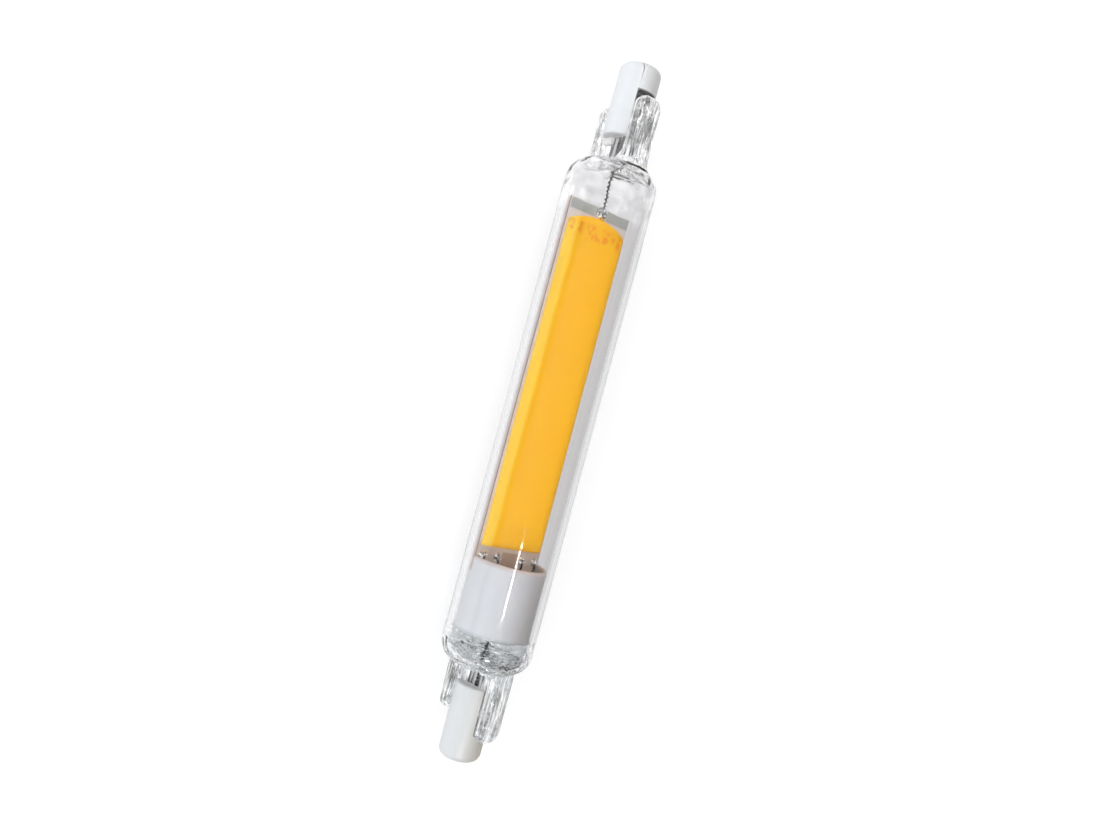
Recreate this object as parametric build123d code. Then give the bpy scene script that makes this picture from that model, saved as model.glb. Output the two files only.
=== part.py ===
from build123d import *
import math
import os

# Double-ended tubular LED lamp, in millimetres. +X runs along the lamp to its upper end, +Z is
# square to the front of the LED board, and the origin is the middle of the lamp on its axis.

# Whole lamp and glass tube
overall_length = 117.6
tube_diameter = 15.4
tube_wall = 1.0
shoulder_radius = 3.5
shoulder_chords = 6
upper_dome_to_cap = 4.4
lower_dome_to_cap = 3.1

# Pinch seals: two thick ridges joined by a thin web, turned about the lamp's axis
upper_pinch_turn = 90.0
lower_pinch_turn = 250.0
ridge_width = 2.1
ridge_thickness = 4.4
ridge_rounding = 1.0
web_rounding = 0.45
ridge_end_rounding = 0.95
flare_foot_angle = 36.0
flare_foot_flatness = 0.65
flare_foot_embed = 0.15
flare_top_spread = 0.7
flare_height = 1.9
upper_seal_gap = 0.7
lower_seal_gap = 0.3
funnel_mouth_radius = 2.4
funnel_neck_radius = 0.6
funnel_neck_beyond_dome = 0.3

# Ceramic caps and the contacts in their recesses
cap_diameter = 7.0
cap_length = 12.4
slot_depth = 7.7
slot_width = 3.5
rim_rounding = 1.2
leg_bevel = 0.5
groove_width = 0.6
groove_depth = 0.65
recess_diameter = 4.2
recess_depth = 1.7
recess_wall_depth = 1.6
contact_pocket_step = 0.3
contact_thickness = 0.8
contact_play = 0.1
contact_bevel = 0.25
lead_hole_diameter = 1.3
cap_side_play = 0.17

# Cement between cap and glass
cement_layer = 0.55
cement_side_gap = 0.15
cement_bead_length = 1.3
cement_bead_width = 2.1
cement_bead_height = 0.75

# Metal ribbons and wires
foil_width = 3.4
foil_thickness = 0.1
foil_inset_from_dome = 1.4
foil_inset_from_end = 1.2
lead_diameter = 0.5
weld_overlap = 2.4
weld_flat = 0.06
lead_landing_length = 2.4
lead_straight_past_dome = 2.6

# LED board with its phosphor, chips and tinned band
board_to_upper_dome = 7.2
board_play = 0.33
board_thickness = 1.0
board_front = -0.5
pad_inset = 0.2
pad_length = 1.6
pad_thickness = 0.1
phosphor_side_margin = 0.3
phosphor_rim_height = 0.2
phosphor_height = 1.0
phosphor_side_slope = 58.0
phosphor_lower_margin = 4.6
phosphor_upper_margin = 2.0
phosphor_end_bulge = 1.5
phosphor_softness = 0.35
phosphor_corner_play = 0.05
chip_length = 0.9
chip_width = 0.5
chip_height = 0.25
chip_pitch_along = 2.55
chip_rows = 3
chip_row_pitch = 2.8
chip_margin = 2.6

# Driver sleeve, driver board and its components
sleeve_play = 0.35
sleeve_wall = 0.6
sleeve_length = 12.1
sleeve_step = 2.5
sleeve_rise = 4.7
driver_board_gap = 0.3
driver_board_length = 8.5
driver_board_play = 0.1
driver_board_thickness = 1.0
rectifier_length = 3.9
rectifier_width_share = 0.43
rectifier_height = 1.7
rectifier_inset = 2.6
rectifier_feet = 2
driver_chip_length = 4.5
driver_chip_width_share = 0.19
driver_chip_height = 1.4
driver_chip_inset = 2.7
driver_chip_feet = 3
driver_chip_gap = 0.2
foot_reach = 0.25
foot_width = 0.6
foot_height = 0.25
resistor_length = 1.6
resistor_width_share = 0.29
resistor_height = 0.6
resistor_inset = 3.4
resistor_spacing_share = 0.46
resistor_cap_share = 0.2

# Link pins and solder
link_pin_width = 0.4
inner_pin_share = 0.47
link_joint_inset = 2.8
link_pin_overhang = 0.4
link_pin_landing = 1.5
link_solder_play = 0.05
link_solder_radius = 0.6
link_solder_height = 0.6
driver_solder_radius = 0.5
driver_solder_height = 0.42
lead_solder_radius = 0.9
lead_solder_height = 0.8
lead_end_past_solder = 0.5
lower_solder_inset = 0.9
solder_film = 0.06
solder_sides = 12
driver_solder_sides = 6
solder_skirt_share = 0.6
solder_skirt_slope = 18.0
solder_crown_slope = 48.0

# Places worked out from the sizes above
half_length = overall_length / 2
tube_radius = tube_diameter / 2
cap_inner_end = half_length - cap_length
slot_end = cap_inner_end + slot_depth
upper_dome_end = cap_inner_end - upper_dome_to_cap
lower_dome_end = cap_inner_end - lower_dome_to_cap
upper_pinch_end = slot_end - upper_seal_gap
lower_pinch_end = slot_end - lower_seal_gap
recess_floor = half_length - recess_depth - contact_thickness
contact_pocket_radius = recess_diameter / 2 - contact_pocket_step
slot_face_reach = math.sqrt((cap_diameter / 2) ** 2 - (slot_width / 2) ** 2)
channel_half_width = slot_face_reach + cap_side_play
pinch_width = 2 * (channel_half_width + ridge_width)
web_thickness = slot_width - 2 * cement_layer
cement_width = 2 * (channel_half_width - web_rounding - cement_side_gap)
lead_offset = (foil_thickness + lead_diameter) / 2 - weld_flat

board_back = board_front - board_thickness
bore_radius = tube_radius - tube_wall
hollow_bevel = (2 - math.sqrt(2)) * (shoulder_radius - tube_wall)
board_width = 2 * (math.sqrt(bore_radius**2 - board_back**2) - board_play)
phosphor_width = board_width - 2 * phosphor_side_margin
sleeve_radius = bore_radius - sleeve_play
sleeve_bore_radius = sleeve_radius - sleeve_wall
driver_board_back = board_front - driver_board_thickness
driver_board_width = 2 * (
    math.sqrt(sleeve_bore_radius**2 - driver_board_back**2) - driver_board_play
)
outer_pin_offset = sleeve_bore_radius - link_solder_radius - link_solder_play
inner_pin_offset = inner_pin_share * outer_pin_offset
link_pin_offsets = (outer_pin_offset, inner_pin_offset, -inner_pin_offset, -outer_pin_offset)
sleeve_low = -(lower_dome_end - tube_wall) + sleeve_rise
sleeve_high = sleeve_low + sleeve_length
board_low = sleeve_high - sleeve_step
board_high = upper_dome_end - board_to_upper_dome
driver_board_high = board_low - driver_board_gap
driver_board_low = driver_board_high - driver_board_length
link_joint_x = board_low + link_joint_inset
phosphor_low = board_low + phosphor_lower_margin
phosphor_high = board_high - phosphor_upper_margin
phosphor_inset = (phosphor_height - phosphor_rim_height) * math.tan(
    math.radians(phosphor_side_slope)
)
phosphor_corner = phosphor_inset + phosphor_softness + phosphor_corner_play
upper_joint_x = board_high - pad_inset - pad_length / 2
lower_joint_x = driver_board_low + lower_solder_inset
rectifier_size = (
    rectifier_length, rectifier_width_share * driver_board_width, rectifier_height
)
driver_chip_size = (
    driver_chip_length, driver_chip_width_share * driver_board_width, driver_chip_height
)
resistor_size = (
    resistor_length, resistor_width_share * driver_board_width, resistor_height
)
driver_chip_offset = (
    (rectifier_size[1] + driver_chip_size[1]) / 2 + 2 * foot_reach + driver_chip_gap
)

BOTTOM = (Align.CENTER, Align.CENTER, Align.MIN)


def end_frame(direction, turn):
    """The frame of one lamp end: z outward along the lamp, x across the pinch, y out of its face."""
    sine = math.sin(math.radians(turn))
    cosine = math.cos(math.radians(turn))
    across = (0, direction * cosine, -direction * sine)
    return Plane(origin=(0, 0, 0), x_dir=across, z_dir=(direction, 0, 0))


upper_frame = end_frame(1, upper_pinch_turn)
lower_frame = end_frame(-1, lower_pinch_turn)


def blown_tube(low, high):
    """The outside of the tube along X, with each rounded shoulder drawn as a run of chords."""
    quarter = [math.radians(90 * step / shoulder_chords) for step in range(shoulder_chords + 1)]
    fall = [shoulder_radius * (1 - math.sin(angle)) for angle in quarter]
    inset = [shoulder_radius * (1 - math.cos(angle)) for angle in quarter]
    upper = [(high - x, tube_radius - y) for x, y in zip(fall, inset)]
    lower = [(low + x, tube_radius - y) for x, y in zip(fall, inset)]
    profile = Polyline((low, 0), *reversed(lower), *upper, (high, 0), close=True)
    return revolve(make_face(profile), Axis.X)


def tube_hollow(low, high):
    """The inside of the tube along X, with bevelled shoulders."""
    bar = Pos((low + high) / 2, 0, 0) * Rot(0, 90, 0) * Cylinder(bore_radius, high - low)
    return chamfer(bar.edges().filter_by(GeomType.CIRCLE), hollow_bevel)


def wire(points, diameter):
    """A round wire along straight runs with sharp bends."""
    path = Polyline(*points)
    section = Plane(origin=path @ 0, z_dir=path % 0) * Circle(diameter / 2)
    return sweep(section, path=path, transition=Transition.RIGHT)


def straight_wire(start, end, diameter):
    """A straight round wire from start to end."""
    run = Vector(*end) - Vector(*start)
    section = Plane(origin=start, z_dir=run) * Circle(diameter / 2)
    return extrude(section, run.length)


def pinch_seal(dome_end, pinch_end):
    """The pressed end of the tube: two ridges and a web, from inside the dome's wall outwards."""
    ridge = RectangleRounded(ridge_width, ridge_thickness, ridge_rounding)
    ridge_centre = (pinch_width - ridge_width) / 2
    web = Rectangle(2 * ridge_centre, web_thickness)
    section = Pos(ridge_centre, 0) * ridge + Pos(-ridge_centre, 0) * ridge + web
    inner_corners = [
        corner
        for corner in section.vertices()
        if abs(abs(corner.Y) - web_thickness / 2) < 1e-3
        and abs(abs(corner.X) - channel_half_width) < 1e-3
    ]
    section = fillet(inner_corners, web_rounding)
    start = dome_end - 0.7 * tube_wall
    length = pinch_end - start
    bar = extrude(Plane.XY.offset(start) * section, length)
    front = Pos(0, start) * RectangleRounded(pinch_width, 2 * length, ridge_end_rounding)
    side = Pos(0, start) * RectangleRounded(ridge_thickness, 2 * length, ridge_end_rounding)
    bar &= extrude(Plane.XZ * front, pinch_width, both=True)
    bar &= extrude(Plane.YZ * side, pinch_width, both=True)
    return bar + root_flare(dome_end)


def root_flare(dome_end):
    """The glass that spreads from the ridges to the dome, open where the web lies between them."""
    foot_angle = math.radians(flare_foot_angle)
    foot_radius = tube_radius - shoulder_radius * (1 - math.sin(foot_angle))
    drop = shoulder_radius * (1 - math.cos(foot_angle))
    foot = Plane.XY.offset(dome_end - drop - flare_foot_embed)
    top = Plane.XY.offset(dome_end + flare_height)
    body = loft(
        [
            foot * Ellipse(foot_radius, foot_radius - flare_foot_flatness),
            top * Ellipse(pinch_width / 2, ridge_thickness / 2 + flare_top_spread),
        ]
    )
    opening = Box(2 * channel_half_width, tube_diameter, 2 * flare_height, align=BOTTOM)
    opening -= Box(2 * channel_half_width, web_thickness, 2 * flare_height, align=BOTTOM)
    return body - Pos(0, 0, dome_end) * opening


def funnel(dome_end):
    """The small cone that the hollow of the tube makes into the root of the pinch."""
    mouth = dome_end - tube_wall
    depth = tube_wall + funnel_neck_beyond_dome
    cone = Cone(funnel_mouth_radius, funnel_neck_radius, depth, align=BOTTOM)
    return Pos(0, 0, mouth) * cone


def foil(dome_end, pinch_end):
    """The sealed metal ribbon in the middle of the web."""
    start = dome_end + foil_inset_from_dome
    ribbon = Box(foil_width, foil_thickness, pinch_end - foil_inset_from_end - start, align=BOTTOM)
    return Pos(0, 0, start) * ribbon


def outer_lead(pinch_end, side):
    """The straight wire from the ribbon's outer end to the back of the contact."""
    start = pinch_end - foil_inset_from_end - weld_overlap
    offset = side * lead_offset
    return straight_wire((0, offset, start), (0, offset, recess_floor), lead_diameter)


def inner_lead(frame, dome_end, side, joint_x, landing_sign, landing_face):
    """The wire from the ribbon's inner end, along the axis, down to its solder joint."""
    offset = side * lead_offset
    weld_end = frame.from_local_coords(
        Vector(0, offset, dome_end + foil_inset_from_dome + weld_overlap)
    )
    straight_end = frame.from_local_coords(
        Vector(0, offset, dome_end - tube_wall - lead_straight_past_dome)
    )
    landing_z = landing_face + solder_film + lead_diameter / 2
    touch = Vector(joint_x + landing_sign * lead_landing_length, 0, landing_z)
    last = Vector(joint_x - landing_sign * lead_end_past_solder, 0, landing_z)
    return wire([weld_end, straight_end, touch, last], lead_diameter)


def cap():
    """The slotted ceramic end cap, seen with its outer end up."""
    radius = cap_diameter / 2
    cut = rim_rounding * (1 - math.sqrt(0.5))
    profile = Polyline(
        (0, cap_inner_end),
        (radius - leg_bevel, cap_inner_end),
        (radius, cap_inner_end + leg_bevel),
        (radius, half_length - rim_rounding),
        (radius - cut, half_length - cut),
        (radius - rim_rounding, half_length),
        (0, half_length),
        close=True,
    )
    body = revolve(Plane.XZ * make_face(profile), Axis.Z)
    slot = Box(2 * cap_diameter, slot_width, 2 * slot_depth)
    body -= Pos(0, 0, slot_end - slot_depth) * slot
    recess = Cylinder(recess_diameter / 2, recess_wall_depth, align=BOTTOM)
    body -= Pos(0, 0, half_length - recess_wall_depth) * recess
    pocket = Cylinder(contact_pocket_radius, half_length - recess_floor, align=BOTTOM)
    body -= Pos(0, 0, recess_floor) * pocket
    body -= Pos(0, 0, slot_end - 1) * Cylinder(lead_hole_diameter / 2, cap_length, align=BOTTOM)
    groove = Box(2 * groove_depth, groove_width, 2 * cap_length)
    groove_y = (slot_width - groove_width) / 2
    for side in (1, -1):
        body -= Pos(side * slot_face_reach, groove_y, half_length) * groove
    return body


def contact():
    """The metal button that lies on the floor of the cap's recess."""
    radius = contact_pocket_radius - contact_play
    button = Pos(0, 0, recess_floor) * Cylinder(radius, contact_thickness, align=BOTTOM)
    rim = button.edges().filter_by(GeomType.CIRCLE).sort_by(Axis.Z)[-1]
    return chamfer(rim, contact_bevel)


def cement(pinch_end, lead, bead_side):
    """Cement on both faces of the web and over its end, with a bead below one leg."""
    height = slot_end - cap_inner_end
    body = Pos(0, 0, cap_inner_end) * Box(cement_width, slot_width, height, align=BOTTOM)
    web = Box(2 * cement_width, web_thickness, pinch_end - cap_inner_end, align=BOTTOM)
    body -= Pos(0, 0, cap_inner_end) * web
    if bead_side:
        bead = Box(cement_bead_width, cement_bead_height, cement_bead_length)
        rounding = cement_bead_height / 2.2
        ends = bead.edges().group_by(Axis.Z)[0]
        bead = fillet(ends, rounding)
        middle_y = web_thickness / 2 + cement_bead_height / 2
        middle_z = cap_inner_end - cement_bead_length / 2
        middle_x = bead_side * (cement_width - cement_bead_width) / 2
        body += Pos(middle_x, middle_y, middle_z) * bead
    return body - lead


def sleeve():
    """The insulating sleeve, cut back behind the LED board so that the board stands on a step."""
    outside = Cylinder(sleeve_radius, sleeve_length)
    bore = Cylinder(sleeve_bore_radius, 2 * sleeve_length)
    body = Pos((sleeve_low + sleeve_high) / 2, 0, 0) * Rot(0, 90, 0) * (outside - bore)
    behind = Box(sleeve_step, 2 * sleeve_radius, 2 * sleeve_radius)
    cut_x = sleeve_high - sleeve_step / 2
    return body - Pos(cut_x, 0, board_front - sleeve_radius) * behind


def board_plate(low, high, width, thickness):
    """A flat board whose front lies in the plane shared by both boards."""
    middle = ((low + high) / 2, 0, board_front - thickness / 2)
    return Pos(*middle) * Box(high - low, width, thickness)


def pad():
    """The tinned band across the upper end of the LED board."""
    band = Box(pad_length, board_width - 2 * pad_inset, pad_thickness)
    return Pos(upper_joint_x, 0, board_front + pad_thickness / 2) * band


def phosphor(chips):
    """The raised coat over the chips: sloping sides, a bulging upper end and soft top edges."""
    half = phosphor_width / 2
    shoulder_x = phosphor_high - phosphor_end_bulge
    outline = Polyline(
        (shoulder_x, half), (phosphor_low, half), (phosphor_low, -half), (shoulder_x, -half)
    )
    bulge = ThreePointArc((shoulder_x, -half), (phosphor_high, 0), (shoulder_x, half))
    face = make_face(outline + bulge)
    face = fillet(face.vertices(), phosphor_corner)
    base = Plane.XY.offset(board_front)
    rim = extrude(base * face, phosphor_rim_height)
    crown = base.offset(phosphor_rim_height) * face
    coat = rim + extrude(
        crown, phosphor_height - phosphor_rim_height, taper=phosphor_side_slope
    )
    coat = fillet(coat.faces().sort_by(Axis.Z)[-1].edges(), phosphor_softness)
    return coat - chips


def led_chips():
    """Rows of chips that stand on the LED board under the phosphor."""
    first = phosphor_low + chip_margin
    last = phosphor_high - phosphor_end_bulge - chip_margin
    per_row = int((last - first) / chip_pitch_along) + 1
    chip = Box(chip_length, chip_width, chip_height)
    start = (first + last - (per_row - 1) * chip_pitch_along) / 2
    places = [
        (start + column * chip_pitch_along, (row - (chip_rows - 1) / 2) * chip_row_pitch)
        for column in range(per_row)
        for row in range(chip_rows)
    ]
    middle_z = board_front + chip_height / 2
    return Compound([Pos(x, y, middle_z) * chip for x, y in places])


def solder_bead(radius, height, x, y, base_z, buried, sides=solder_sides):
    """A low solder joint, as a steep skirt and a flatter crown, over what is buried in it."""
    skirt_height = solder_skirt_share * height
    foot = RegularPolygon(radius, sides)
    skirt = extrude(foot, skirt_height, taper=solder_skirt_slope)
    waist = skirt.faces().sort_by(Axis.Z)[-1]
    crown = extrude(waist, height - skirt_height, taper=solder_crown_slope)
    return Pos(x, y, base_z) * (skirt + crown) - buried


def link_pin(y):
    """A square pin that lies on both boards and joins them."""
    z = board_front + solder_film + link_pin_width / 2
    low = driver_board_high - link_pin_landing
    high = link_joint_x + link_pin_overhang
    return Pos((low + high) / 2, y, z) * Box(high - low, link_pin_width, link_pin_width)


def chip_package(size, feet, x, y):
    """A moulded component on the driver board, with its feet along both long sides."""
    length, width, height = size
    body = Box(length, width, height, align=BOTTOM)
    body = chamfer(body.faces().sort_by(Axis.Z)[-1].edges(), height / 6)
    for side in (1, -1):
        for count in range(feet):
            foot_x = ((count + 0.5) / feet - 0.5) * length
            foot = Box(foot_width, foot_reach * 2, foot_height, align=BOTTOM)
            body += Pos(foot_x, side * width / 2, 0) * foot
    return Pos(x, y, board_front) * body


def resistor(y):
    """A chip resistor with raised end caps, on the back of the driver board."""
    length, width, height = resistor_size
    core = Box(length, width, 0.9 * height, align=BOTTOM)
    cap_width = resistor_cap_share * width
    for side in (1, -1):
        end = Box(length, cap_width, height, align=BOTTOM)
        core += Pos(0, side * (width - cap_width) / 2, 0) * end
    x = driver_board_high - resistor_inset - length / 2
    back = board_front - driver_board_thickness
    return Pos(x, y, back) * Rot(180, 0, 0) * core


def lamp_parts():
    """Every piece of the lamp by name."""
    parts = {}
    pad_front = board_front + pad_thickness
    ends = {
        "upper": (upper_frame, upper_dome_end, upper_pinch_end, 1, upper_joint_x, pad_front),
        "lower": (lower_frame, lower_dome_end, lower_pinch_end, -1, lower_joint_x, board_front),
    }
    glass = blown_tube(-lower_dome_end, upper_dome_end)
    hollow = tube_hollow(tube_wall - lower_dome_end, upper_dome_end - tube_wall)
    sealed = []
    for name, (frame, dome_end, pinch_end, side, joint_x, landing_face) in ends.items():
        place = frame.location
        glass += place * pinch_seal(dome_end, pinch_end)
        hollow += place * funnel(dome_end)
        ribbon = foil(dome_end, pinch_end)
        lead = outer_lead(pinch_end, side) - ribbon
        inner = inner_lead(frame, dome_end, side, joint_x, side, landing_face)
        inner -= place * ribbon
        bead_side = 1 if name == "upper" else 0
        parts[f"{name}_cap"] = place * cap()
        parts[f"{name}_contact"] = place * contact()
        parts[f"{name}_cement"] = place * cement(pinch_end, lead, bead_side)
        parts[f"{name}_foil"] = place * ribbon
        parts[f"{name}_outer_lead"] = place * lead
        parts[f"{name}_inner_lead"] = inner
        sealed += [place * ribbon, place * lead, inner]
    glass -= hollow
    for piece in sealed:
        glass -= piece
    parts["glass_envelope"] = glass

    parts["led_board"] = board_plate(board_low, board_high, board_width, board_thickness)
    parts["upper_pad"] = pad()
    parts["led_chips"] = led_chips()
    parts["phosphor_strip"] = phosphor(parts["led_chips"])
    parts["upper_solder_joint"] = solder_bead(
        lead_solder_radius,
        lead_solder_height,
        upper_joint_x,
        0,
        pad_front,
        parts["upper_inner_lead"],
    )

    parts["driver_sleeve"] = sleeve()
    parts["driver_board"] = board_plate(
        driver_board_low, driver_board_high, driver_board_width, driver_board_thickness
    )
    parts["lower_solder_joint"] = solder_bead(
        lead_solder_radius,
        lead_solder_height,
        lower_joint_x,
        0,
        board_front,
        parts["lower_inner_lead"],
    )
    rectifier_x = driver_board_high - rectifier_inset - rectifier_size[0] / 2
    parts["bridge_rectifier"] = chip_package(rectifier_size, rectifier_feet, rectifier_x, 0)
    chip_x = driver_board_high - driver_chip_inset - driver_chip_size[0] / 2
    for number, side in enumerate((1, -1), start=1):
        parts[f"driver_chip_{number}"] = chip_package(
            driver_chip_size, driver_chip_feet, chip_x, side * driver_chip_offset
        )
        parts[f"resistor_{number}"] = resistor(
            side * resistor_spacing_share * driver_board_width / 2
        )
    driver_joint_x = driver_board_high - link_pin_landing / 2
    driver_beads = []
    for number, y in enumerate(link_pin_offsets, start=1):
        pin = link_pin(y)
        parts[f"link_pin_{number}"] = pin
        parts[f"link_solder_{number}"] = solder_bead(
            link_solder_radius, link_solder_height, link_joint_x, y, board_front, pin
        )
        driver_beads.append(
            solder_bead(
                driver_solder_radius,
                driver_solder_height,
                driver_joint_x,
                y,
                board_front,
                pin,
                driver_solder_sides,
            )
        )
    parts["driver_solder"] = Compound(driver_beads)
    return parts


os.makedirs("parts", exist_ok=True)
for name, piece in lamp_parts().items():
    export_step(piece, f"parts/{name}.step")
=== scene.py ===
# %% [markdown]
# The lamp is a slim glass tube, pressed flat at both ends, with a slotted ceramic cap on each
# end. Inside are a board with a thick yellow phosphor coat and a white sleeve over the driver.
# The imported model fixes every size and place. This lesson dresses it: the glass, caps, coat,
# sleeve, wires and solder are modelled again with their soft edges, and every surface gets a
# finish that is worked out in shader nodes.

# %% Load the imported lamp
import math
import random

import bpy
from mathutils import Matrix, Vector


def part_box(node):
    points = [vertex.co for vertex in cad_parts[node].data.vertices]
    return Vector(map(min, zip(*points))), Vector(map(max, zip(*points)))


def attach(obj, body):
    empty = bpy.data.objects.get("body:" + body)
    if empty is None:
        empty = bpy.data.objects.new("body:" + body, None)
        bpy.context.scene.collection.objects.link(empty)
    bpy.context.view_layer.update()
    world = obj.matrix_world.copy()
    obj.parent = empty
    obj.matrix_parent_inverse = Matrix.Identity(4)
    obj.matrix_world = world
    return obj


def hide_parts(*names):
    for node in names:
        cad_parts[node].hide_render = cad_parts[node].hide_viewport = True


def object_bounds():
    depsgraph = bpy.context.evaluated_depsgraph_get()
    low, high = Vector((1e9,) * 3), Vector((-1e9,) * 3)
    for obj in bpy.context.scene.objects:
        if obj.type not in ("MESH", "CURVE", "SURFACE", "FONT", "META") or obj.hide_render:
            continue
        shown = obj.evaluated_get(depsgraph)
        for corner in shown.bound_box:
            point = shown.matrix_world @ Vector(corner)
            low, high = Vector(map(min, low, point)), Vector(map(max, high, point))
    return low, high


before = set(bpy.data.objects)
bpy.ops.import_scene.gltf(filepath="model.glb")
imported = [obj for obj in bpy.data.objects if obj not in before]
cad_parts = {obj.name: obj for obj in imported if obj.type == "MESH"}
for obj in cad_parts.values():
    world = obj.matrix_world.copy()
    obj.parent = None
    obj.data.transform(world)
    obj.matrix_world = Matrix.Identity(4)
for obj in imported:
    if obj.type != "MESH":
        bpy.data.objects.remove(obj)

MM = 0.001
cad_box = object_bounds()
print("packed nodes:", len(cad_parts))

# %% [markdown]
# The camera looks down on the lamp from the front of its board, 55 degrees above the floor and
# about 150 mm away, which is close enough for the near parts to look larger. The picture is
# turned so that the lamp leans 15 degrees. The camera's right, up and back directions are worked
# out from those two angles and become the columns of its matrix.

# %% Camera
VIEW_HEIGHT = math.radians(55)
VIEW_ROLL = math.radians(15)
VIEW_DISTANCE = 150 * MM

back = Vector((0, math.cos(VIEW_HEIGHT), math.sin(VIEW_HEIGHT)))
across = Vector((0, -math.sin(VIEW_HEIGHT), math.cos(VIEW_HEIGHT)))
along = Vector((1, 0, 0))
right = math.cos(VIEW_ROLL) * across + math.sin(VIEW_ROLL) * along
up = math.cos(VIEW_ROLL) * along - math.sin(VIEW_ROLL) * across

bpy.ops.object.camera_add()
camera = bpy.context.object
camera.name = "camera"
camera.matrix_world = Matrix.Translation(VIEW_DISTANCE * back) @ Matrix((right, up, back)).transposed().to_4x4()
camera.data.sensor_width = 36
camera.data.lens = 29.7
camera.data.clip_start = 5 * MM
bpy.context.scene.camera = camera
print("camera at", [round(c, 4) for c in camera.location])


# %% [markdown]
# Shader maths reads best as ordinary expressions. `Value` wraps one socket, and adding,
# multiplying or comparing it adds the Math node that does so. `Graph` owns a node tree, and its
# `node` method makes any other node from its settings and its inputs. `Finish` is the graph of
# one material.

# %% Shader expressions
class Value:
    """A number that varies over a surface or over the sky."""

    def __init__(self, graph, socket):
        self.graph = graph
        self.socket = socket

    def math(self, operation, *values, clamp=False):
        settings = {"operation": operation, "use_clamp": clamp}
        return self.graph.node("ShaderNodeMath", settings, dict(enumerate(values)))

    def __add__(self, other):
        return self.math("ADD", self, other)

    def __sub__(self, other):
        return self.math("SUBTRACT", self, other)

    def __rsub__(self, other):
        return self.math("SUBTRACT", other, self)

    def __mul__(self, other):
        return self.math("MULTIPLY", self, other)

    def __truediv__(self, other):
        return self.math("DIVIDE", self, other)

    def __abs__(self):
        return self.math("ABSOLUTE", self)

    def above(self, edge, soft):
        """0 below the edge, 1 above it, with a soft step between."""
        return self.math("MULTIPLY", self - (edge - soft / 2), 1 / soft, clamp=True)

    def below(self, edge, soft):
        return 1 - self.above(edge, soft)

    def power(self, exponent):
        return self.math("POWER", self, exponent)

    def capped(self):
        """No more than 1."""
        return self.math("MINIMUM", self, 1.0)

    __radd__ = __add__
    __rmul__ = __mul__


class Graph:
    """A node tree and one way to add nodes to it."""

    def __init__(self, tree):
        self.tree = tree

    def node(self, kind, settings=None, inputs=None, output=0):
        made = self.tree.nodes.new(kind)
        for key, value in (settings or {}).items():
            setattr(made, key, value)
        for key, value in (inputs or {}).items():
            self.feed(made.inputs[key], value)
        return Value(self, made.outputs[output])

    def feed(self, socket, value):
        if isinstance(value, Value):
            self.tree.links.new(value.socket, socket)
        else:
            socket.default_value = value

    def axes(self, vector, letter):
        return self.node("ShaderNodeSeparateXYZ", inputs={0: vector}, output=letter)

    def ray(self, kind):
        """1 for rays of one kind, such as Camera or Glossy, and 0 for all others."""
        return self.node("ShaderNodeLightPath", output=f"Is {kind} Ray")

    def bounced(self):
        """1 for rays that have left a matt surface on their way, 0 for a direct look."""
        return self.node("ShaderNodeLightPath", output="Diffuse Depth").capped()

    def mix(self, factor, first, second):
        """A colour between two colours."""
        inputs = {0: factor, 6: rgba(first), 7: rgba(second)}
        return self.node("ShaderNodeMix", {"data_type": "RGBA"}, inputs, output=2)


class Finish(Graph):
    """A material: one principled shader and the nodes that feed it."""

    def __init__(self, name, **constants):
        self.material = bpy.data.materials.new(name)
        self.material.use_nodes = True
        super().__init__(self.material.node_tree)
        self.shader = self.tree.nodes["Principled BSDF"]
        for socket, value in constants.items():
            self.shader.inputs[socket.replace("_", " ")].default_value = value
        self.where = self.node("ShaderNodeTexCoord", output="Object")

    def axis(self, letter):
        """One object coordinate, in millimetres."""
        return self.axes(self.where, letter) * 1000

    def noise(self, size, detail=3.0, stretch=(1, 1, 1), roughness=0.5):
        """Cloudy noise about 0.5, with lumps of a size in millimetres, stretched along axes."""
        scale = tuple(1 / (size * MM * s) for s in stretch)
        placed = self.node("ShaderNodeMapping", inputs={"Vector": self.where, "Scale": scale})
        return self.node(
            "ShaderNodeTexNoise",
            inputs={"Vector": placed, "Scale": 1.0, "Detail": detail, "Roughness": roughness},
        )

    def set(self, **values):
        for socket, value in values.items():
            self.feed(self.shader.inputs[socket.replace("_", " ")], value)
        return self

    def bump(self, height, depth):
        """Relief from a height between 0 and 1, depth in millimetres."""
        inputs = {"Height": height, "Distance": depth * MM, "Strength": 1.0}
        return self.set(Normal=self.node("ShaderNodeBump", inputs=inputs))


def rgba(colour):
    return colour if isinstance(colour, Value) else (*colour[:3], 1.0)


def seen(red, green, blue):
    """A colour as it is seen on a screen, 0 to 255, as the linear values a shader needs."""
    shares = [c / 255 for c in (red, green, blue)]
    return tuple(s / 12.92 if s <= 0.04045 else ((s + 0.055) / 1.055) ** 2.4 for s in shares)


# %% [markdown]
# The lamp lies on a plain white floor. A floor that only reflects is never quite as white as the
# paper behind a product picture, so for the camera, and for rays that come through glass or off
# metal, a part of its light is its own. The rest is reflected and keeps the lamp's soft shadow.

# %% Floor
FLOOR_HEIGHT = cad_box[0][2]
bpy.ops.mesh.primitive_plane_add(size=3.0, location=(0, 0, FLOOR_HEIGHT))
floor = bpy.context.object
floor.name = "floor"

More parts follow.
